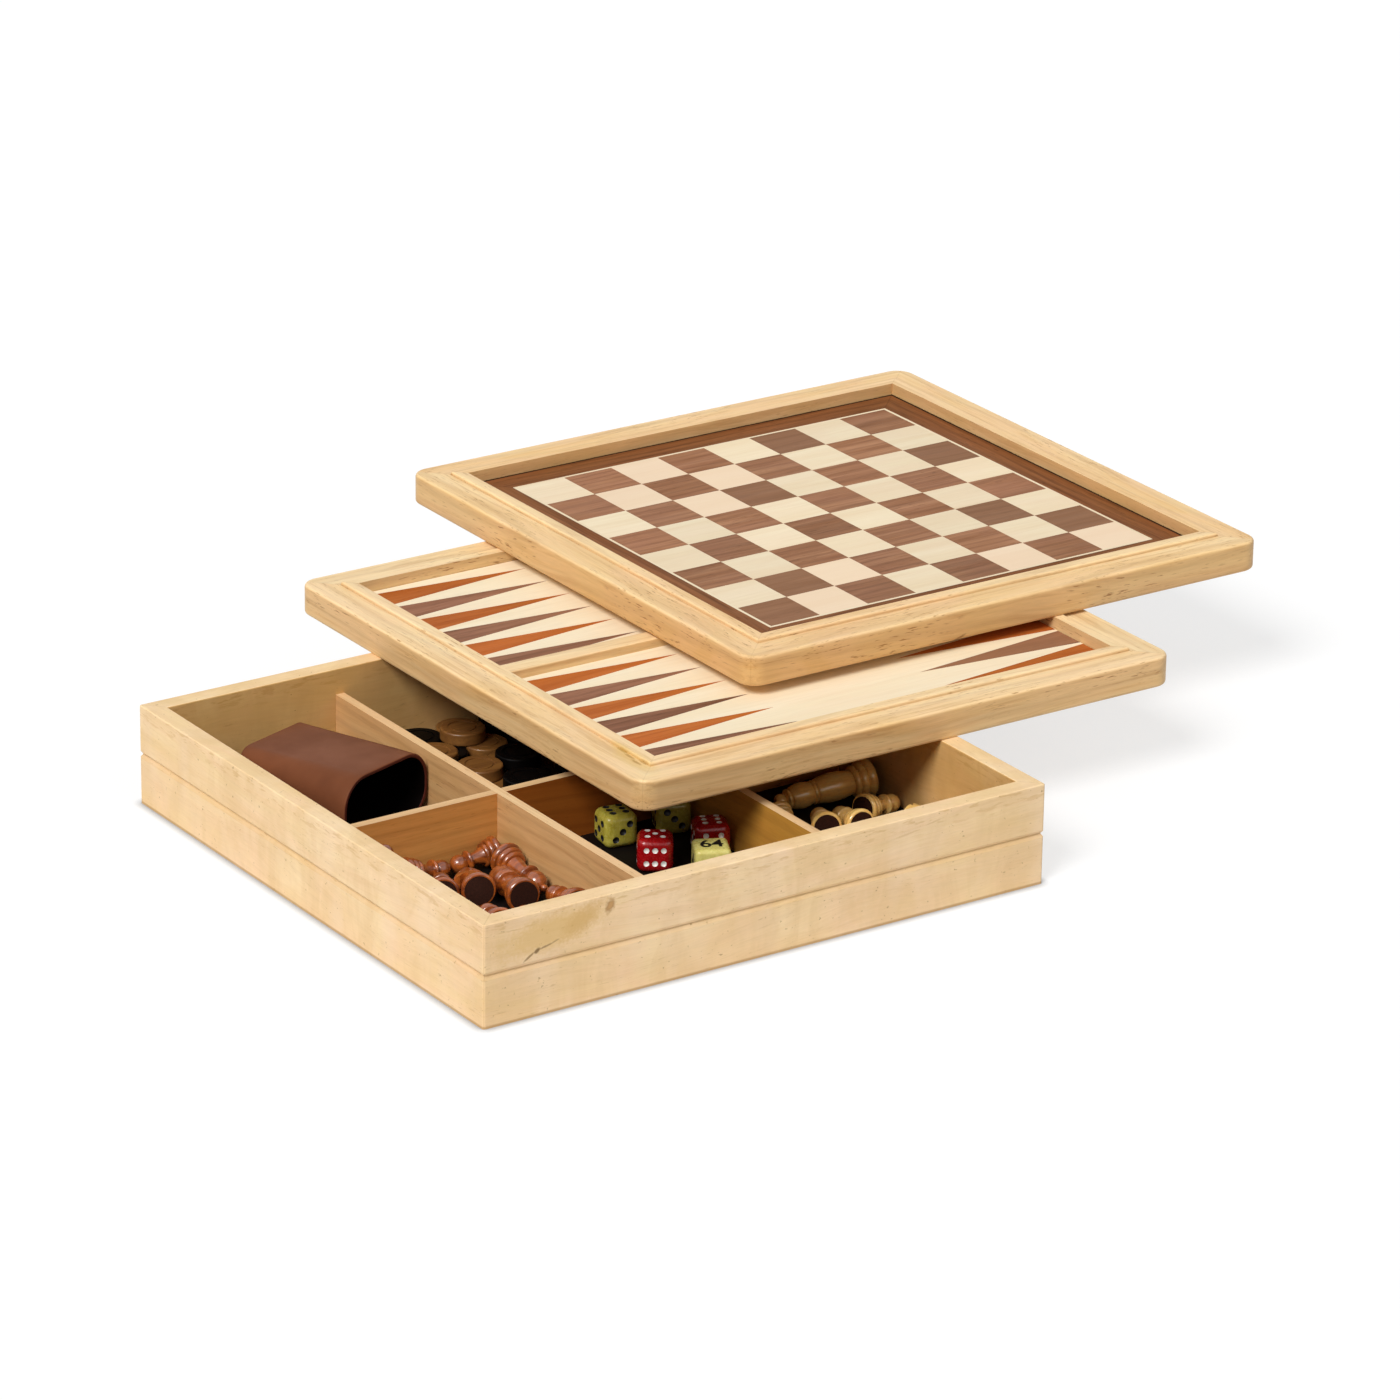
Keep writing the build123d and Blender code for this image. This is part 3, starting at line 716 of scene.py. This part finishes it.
dieShape = {
    "side": 16 * mm, "round": 3.7 * mm, "roundSteps": 6, "smooth": 32, "floor": 5.0 * mm, "pitch": 3.4 * mm,
    "sixAlong": 3.85 * mm, "sixAcross": 3.1 * mm, "ballSides": 24, "ballRings": 16,
    "pips": {"red": {"ball": 2.0 * mm, "lift": 1.48 * mm, "ink": "white"},
             "lime": {"ball": 2.1 * mm, "lift": 1.33 * mm, "ink": "black"}},
}
# faces are named for the cube before it is turned; the pattern lies the other way on the faces in "across"
dice = {
    "left_red_die": {"at": (4.1, -49.1), "turn": -33.0, "plastic": "red", "across": (),
                     "faces": {"top": 5, "front": 6, "left": 4, "right": 3, "back": 1, "bottom": 2}},
    "right_red_die": {"at": (33.8, -48.6), "turn": -24.0, "plastic": "red", "across": ("top",),
                      "faces": {"top": 6, "front": 4, "left": 5, "right": 2, "back": 3, "bottom": 1}},
    "left_lime_die": {"at": (4.6, -16.8), "turn": -9.0, "plastic": "lime", "across": ("top",),
                      "faces": {"top": 6, "front": 3, "left": 5, "right": 2, "back": 4, "bottom": 1}},
    "right_lime_die": {"at": (33.9, -17.1), "turn": -22.0, "plastic": "lime", "across": ("front",),
                       "faces": {"top": 5, "front": 3, "left": 6, "right": 1, "back": 4, "bottom": 2}},
}
# left, middle or right, then bottom, middle or top
pipSpots = {1: ["mm"], 2: ["lb", "rt"], 3: ["lb", "mm", "rt"], 4: ["lb", "lt", "rb", "rt"],
            5: ["lb", "lt", "mm", "rb", "rt"], 6: ["lb", "mb", "rb", "lt", "mt", "rt"]}
pipSteps = {"l": -1, "r": 1, "b": -1, "t": 1, "m": 0}
faceTurns = {face: Matrix.Rotation(math.radians(turn), 4, axis) for face, turn, axis in (
    ("front", 0, "Z"), ("right", 90, "Z"), ("back", 180, "Z"), ("left", -90, "Z"),
    ("top", -90, "X"), ("bottom", 90, "X"))}

plastics = {
    "red": {"pale": (178, 20, 24), "deep": (142, 8, 14), "rough": 0.22, "glow": 0.05},
    "lime": {"pale": (190, 178, 78), "deep": (160, 146, 48), "rough": 0.2, "glow": 0.15},
    "paleLime": {"pale": (224, 214, 130), "deep": (204, 192, 100), "rough": 0.25, "glow": 0.1},
    "white": {"pale": (246, 244, 238), "deep": (232, 228, 220), "rough": 0.35, "glow": 0.0},
    "black": {"pale": (14, 13, 11), "deep": (8, 7, 7), "rough": 0.45, "glow": 0.0},
}
plasticLook = {
    "cloud": {"stretch": (260, 260, 260), "detail": 3, "rough": 0.6, "distort": 1.0, "span": (0.3, 0.7)},
    "scuff": {"stretch": (900, 900, 900), "detail": 4, "rough": 0.6, "span": (0.4, 0.75)}, "scuffed": 0.14,
    "glowReach": (0.9, 0.6, 0.3), "glowDepth": 3 * mm, "dents": (500, 500, 500), "dentDepth": 0.02 * mm,
    "bump": 0.4,
}


def plasticMaterial(name, plastic, look):
    material, tree, shader = newMaterial(name)
    place = objectPlace(tree)
    swirl = cloud(tree, place, look["cloud"])
    colour = blendColour(tree, swirl, tone(*plastic["pale"]), tone(*plastic["deep"]))
    tree.links.new(colour, shader.inputs["Base Color"])
    scuff = cloud(tree, place, look["scuff"], plastic["rough"], plastic["rough"] + look["scuffed"])
    tree.links.new(scuff, shader.inputs["Roughness"])
    shader.inputs["Subsurface Weight"].default_value = plastic["glow"]
    shader.inputs["Subsurface Radius"].default_value = look["glowReach"]
    shader.inputs["Subsurface Scale"].default_value = look["glowDepth"]
    addBump(tree, shader, noise(tree, place, look["dents"]), look["dentDepth"], look["bump"])
    return material


def pipPlaces(shape, die, lift):
    half = shape["side"] / 2
    for face, count in die["faces"].items():
        along = shape["sixAlong"] if count == 6 else shape["pitch"]
        apart = shape["sixAcross"] if count == 6 else shape["pitch"]
        for spot in pipSpots[count]:
            x, z = pipSteps[spot[0]] * along, pipSteps[spot[1]] * apart
            if face in die["across"]:
                x, z = -z, x
            yield faceTurns[face] @ Vector((x, -half - lift, z))


def dieBody(name, shape, rounding, material):
    bpy.ops.object.select_all(action="DESELECT")
    bpy.ops.mesh.primitive_cube_add(size=shape["side"])
    piece = bpy.context.object
    piece.name = name
    piece.data.materials.append(material)
    bevel(piece, rounding, shape["roundSteps"])
    return piece


def makeDie(name, die, shape, materials):
    pips = shape["pips"][die["plastic"]]
    piece = dieBody(f"{name}_piece", shape, shape["round"], materials[die["plastic"]])
    balls = []
    for spot in pipPlaces(shape, die, pips["lift"]):
        bpy.ops.object.select_all(action="DESELECT")
        bpy.ops.mesh.primitive_uv_sphere_add(segments=shape["ballSides"], ring_count=shape["ballRings"],
                                             radius=pips["ball"], location=spot)
        balls.append(bpy.context.object)
    drill = joinPieces(balls, "pipDrill")
    drill.data.materials.append(materials[pips["ink"]])
    cut = piece.modifiers.new("Pips", "BOOLEAN")
    cut.operation, cut.solver, cut.object = "DIFFERENCE", "EXACT", drill
    cut.material_mode = "TRANSFER"
    applyModifiers(piece)
    bpy.data.objects.remove(drill)
    bpy.ops.object.shade_smooth_by_angle(angle=math.radians(shape["smooth"]))
    settle(piece, standingAt(die, shape["floor"] + shape["side"] / 2))
    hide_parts(name)
    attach(piece, name)


doublingCube = {
    "at": (18.6, -71.8), "turn": -26.0, "round": 2.2 * mm, "height": 7.4 * mm, "digitShare": 0.7,
    "proud": 0.06 * mm, "bold": 0.21 * mm,
    "faces": {"top": "64", "front": "8", "left": "4", "right": "16", "back": "32", "bottom": "2"},
}


def makeDoublingCube(cube, shape, materials):
    piece = dieBody("doubling_cube_piece", shape, cube["round"], materials["paleLime"])
    bpy.ops.object.shade_smooth_by_angle(angle=math.radians(shape["smooth"]))
    onFront = Matrix.Translation((0, -shape["side"] / 2, 0)) @ Matrix.Rotation(math.radians(90), 4, "X")
    numbers = []
    for face, number in cube["faces"].items():
        bpy.ops.object.select_all(action="DESELECT")
        bpy.ops.object.text_add()
        text = bpy.context.object
        text.data.body = number
        text.data.align_x, text.data.align_y = "CENTER", "CENTER"
        text.data.size = cube["height"] / cube["digitShare"]
        text.data.offset = cube["bold"]
        text.data.extrude = cube["proud"]
        bpy.ops.object.convert(target="MESH")
        text = bpy.context.object
        text.matrix_world = faceTurns[face] @ onFront
        bpy.ops.object.transform_apply(location=True, rotation=True, scale=True)
        text.data.materials.clear()
        text.data.materials.append(materials["black"])
        numbers.append(text)
    printed = joinPieces(numbers, "doubling_cube_numbers")
    for part in (piece, printed):
        settle(part, standingAt(cube, shape["floor"] + shape["side"] / 2))
        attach(part, "doubling_cube")
    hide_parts("doubling_cube")


# leather dice cups

cupShape = {
    "mouth": (58 * mm, 33 * mm, 14.5 * mm), "base": (46 * mm, 31 * mm, 6.5 * mm), "length": 66 * mm,
    "wall": 2.0 * mm, "floor": 5.15 * mm, "cornerSteps": 10, "rings": 10, "rim": 0.7 * mm, "rimSteps": 3,
    "rimAngle": 50, "smooth": 40,
}
cups = {
    "left_cup": {"at": (-76.2, 45.4), "turn": 19.0},
    "right_cup": {"at": (90.5, 47.0), "turn": -11.0},
}
cupLeather = {
    "cloud": {"stretch": (30, 30, 30), "detail": 3, "rough": 0.6, "span": (0.35, 0.7)}, "rough": 0.42,
    "gloss": (-0.05, 0.07), "grain": 1100, "crease": 0.25, "creaseLift": 0.6, "fine": (2200, 2200, 2200),
    "relief": 0.03 * mm, "bump": 0.5,
    "skins": {
        "outside": {"pale": (124, 74, 48), "deep": (106, 62, 40), "shine": 0.05},
        "inside": {"pale": (10, 6, 5), "deep": (7.5, 4.5, 3.75), "shine": 0.02},
        "edge": {"pale": (92, 44, 34), "deep": (69, 33, 25.5), "shine": 0.05},
    },
}


def leatherMaterial(name, leather, skin):
    material, tree, shader = newMaterial(name)
    place = objectPlace(tree)
    wax = cloud(tree, place, leather["cloud"])
    colour = blendColour(tree, wax, tone(*skin["pale"]), tone(*skin["deep"]))
    tree.links.new(colour, shader.inputs["Base Color"])
    gloss = between(tree, wax, 0, 1, *(leather["rough"] + more for more in leather["gloss"]))
    tree.links.new(gloss, shader.inputs["Roughness"])
    shader.inputs["Specular IOR Level"].default_value = skin["shine"]
    cells = tree.nodes.new("ShaderNodeTexVoronoi")
    cells.feature = "DISTANCE_TO_EDGE"
    cells.inputs["Scale"].default_value = leather["grain"]
    tree.links.new(place, cells.inputs["Vector"])
    crease = between(tree, cells.outputs["Distance"], 0.0, leather["crease"])
    crease = product(tree, crease, leather["creaseLift"])
    relief = calc(tree, "ADD", crease, noise(tree, place, leather["fine"]))
    addBump(tree, shader, relief, leather["relief"], leather["bump"])
    return material


def roundedOutline(size, along, steps):
    # a rounded rectangle standing upright across the cup, resting on zero height
    width, height, corner = size
    bpy.ops.object.select_all(action="DESELECT")
    bpy.ops.mesh.primitive_plane_add(size=1)
    outline = bpy.context.object
    outline.scale = (width, height, 1)
    bpy.ops.object.transform_apply(location=False, rotation=False, scale=True)
    bpy.ops.object.mode_set(mode="EDIT")
    bpy.ops.mesh.select_all(action="SELECT")
    bpy.ops.mesh.bevel(offset=corner, segments=steps, affect="VERTICES", profile=0.5)
    bpy.ops.mesh.delete(type="ONLY_FACE")
    bpy.ops.object.mode_set(mode="OBJECT")
    upright = Matrix.Rotation(math.radians(90), 4, "X")
    outline.matrix_world = Matrix.Translation((0, along, height / 2)) @ upright
    bpy.ops.object.transform_apply(location=True, rotation=True, scale=True)
    return outline


def makeCup(name, cup, shape, skins):
    mouth = roundedOutline(shape["mouth"], 0, shape["cornerSteps"])
    base = roundedOutline(shape["base"], shape["length"], shape["cornerSteps"])
    piece = joinPieces((mouth, base), f"{name}_leather")
    for skin in ("outside", "inside", "edge"):
        piece.data.materials.append(skins[skin])
    bpy.ops.object.mode_set(mode="EDIT")
    bpy.ops.mesh.select_all(action="SELECT")
    bpy.ops.mesh.bridge_edge_loops(number_cuts=shape["rings"])
    bpy.ops.mesh.normals_make_consistent(inside=False)
    bpy.ops.object.mode_set(mode="OBJECT")
    wall = piece.modifiers.new("Wall", "SOLIDIFY")
    wall.thickness, wall.offset = shape["wall"], -1.0
    wall.use_even_offset = True
    wall.material_offset, wall.material_offset_rim = 1, 2
    applyModifiers(piece)
    bevel(piece, shape["rim"], shape["rimSteps"], shape["rimAngle"])
    bpy.ops.object.shade_smooth_by_angle(angle=math.radians(shape["smooth"]))
    settle(piece, standingAt(cup, shape["floor"]))
    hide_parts(f"{name}_wall")
    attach(piece, name)


# white studio

def rayIsSeen(tree):
    # camera, mirror and glass rays
    rays = tree.nodes.new("ShaderNodeLightPath")
    seen = calc(tree, "MAXIMUM", rays.outputs["Is Camera Ray"], rays.outputs["Is Glossy Ray"])
    return calc(tree, "MAXIMUM", seen, rays.outputs["Is Transmission Ray"])


def setSky(setup):
    world = bpy.data.worlds.new("StudioSky")
    bpy.context.scene.world = world
    world.use_nodes = True
    tree = world.node_tree
    tree.nodes.clear()
    output = tree.nodes.new("ShaderNodeOutputWorld")
    sky = tree.nodes.new("ShaderNodeBackground")
    sky.inputs["Color"].default_value = (1, 1, 1, 1)
    tree.links.new(between(tree, rayIsSeen(tree), 0, 1, setup["skyStrength"], 1.0), sky.inputs["Strength"])
    tree.links.new(sky.outputs[0], output.inputs[0])


# the contact settings draw a painted contact shadow on the floor near the box
floorSetup = {"size": 16.0, "white": 0.80, "glow": 0.72, "seenWhite": 0.31, "contactShadowReach": 5 * mm,
              "contactShadowFrom": 0.4, "contactShadowDark": 0.95}


def addFloor(setup):
    # seen rays get a glowing floor that is dark only in shadow and in a painted contact shadow near the
    # box; other rays get plain white
    bpy.ops.object.select_all(action="DESELECT")
    bpy.ops.mesh.primitive_plane_add(size=setup["size"], location=(0, 0, 0))
    floor = bpy.context.object
    floor.name = "StudioFloor"
    material = bpy.data.materials.new("studioWhite")
    material.use_nodes = True
    tree = material.node_tree
    tree.nodes.clear()
    output = tree.nodes.new("ShaderNodeOutputMaterial")
    seen = rayIsSeen(tree)
    matt = tree.nodes.new("ShaderNodeBsdfDiffuse")
    level = between(tree, seen, 0, 1, setup["white"], setup["seenWhite"])
    tree.links.new(grey(tree, level), matt.inputs["Color"])
    glow = tree.nodes.new("ShaderNodeEmission")
    # painted contact shadow: the glow is dimmed where the box is near
    near = tree.nodes.new("ShaderNodeAmbientOcclusion")
    near.inputs["Distance"].default_value = setup["contactShadowReach"]
    glowOutsideContactShadow = between(tree, near.outputs["AO"], setup["contactShadowFrom"], 1.0, 1 - setup["contactShadowDark"], 1.0)
    strength = product(tree, product(tree, seen, setup["glow"]), glowOutsideContactShadow)
    tree.links.new(strength, glow.inputs["Strength"])
    both = tree.nodes.new("ShaderNodeAddShader")
    tree.links.new(matt.outputs[0], both.inputs[0])
    tree.links.new(glow.outputs[0], both.inputs[1])
    tree.links.new(both.outputs[0], output.inputs[0])
    floor.data.materials.append(material)


# build

bpy.context.scene.view_settings.view_transform = "Standard"
setCamera(cameraSetup)
addSun("KeyLamp", lampSetup["key"], lampSetup["height"])
addSun("FillLamp", lampSetup["fill"], lampSetup["height"])
setSky(lampSetup)
addFloor(floorSetup)
print("Games box: camera, lamps and floor set")

dressBox()
dress("tray_floor", trayFloorMaterial(floorLining))
dressMen()
felt = feltMaterial(footFelt)
for colour in ("dark", "light"):
    makeFeltFeet(colour, footFelt, felt)
print("Games box: woods on", len(nodes), "nodes")

plasticKinds = {kind: plasticMaterial(f"{kind}Plastic", plastic, plasticLook)
                for kind, plastic in plastics.items()}
for dieName, dieSettings in dice.items():
    makeDie(dieName, dieSettings, dieShape, plasticKinds)
makeDoublingCube(doublingCube, dieShape, plasticKinds)
print("Games box: dice made")

cupSkins = {kind: leatherMaterial(f"{kind}Leather", cupLeather, skin)
            for kind, skin in cupLeather["skins"].items()}
for cupName, cupSettings in cups.items():
    makeCup(cupName, cupSettings, cupShape, cupSkins)
    dress(f"{cupName}_base", cupSkins["outside"])
print("Games box: cups made")
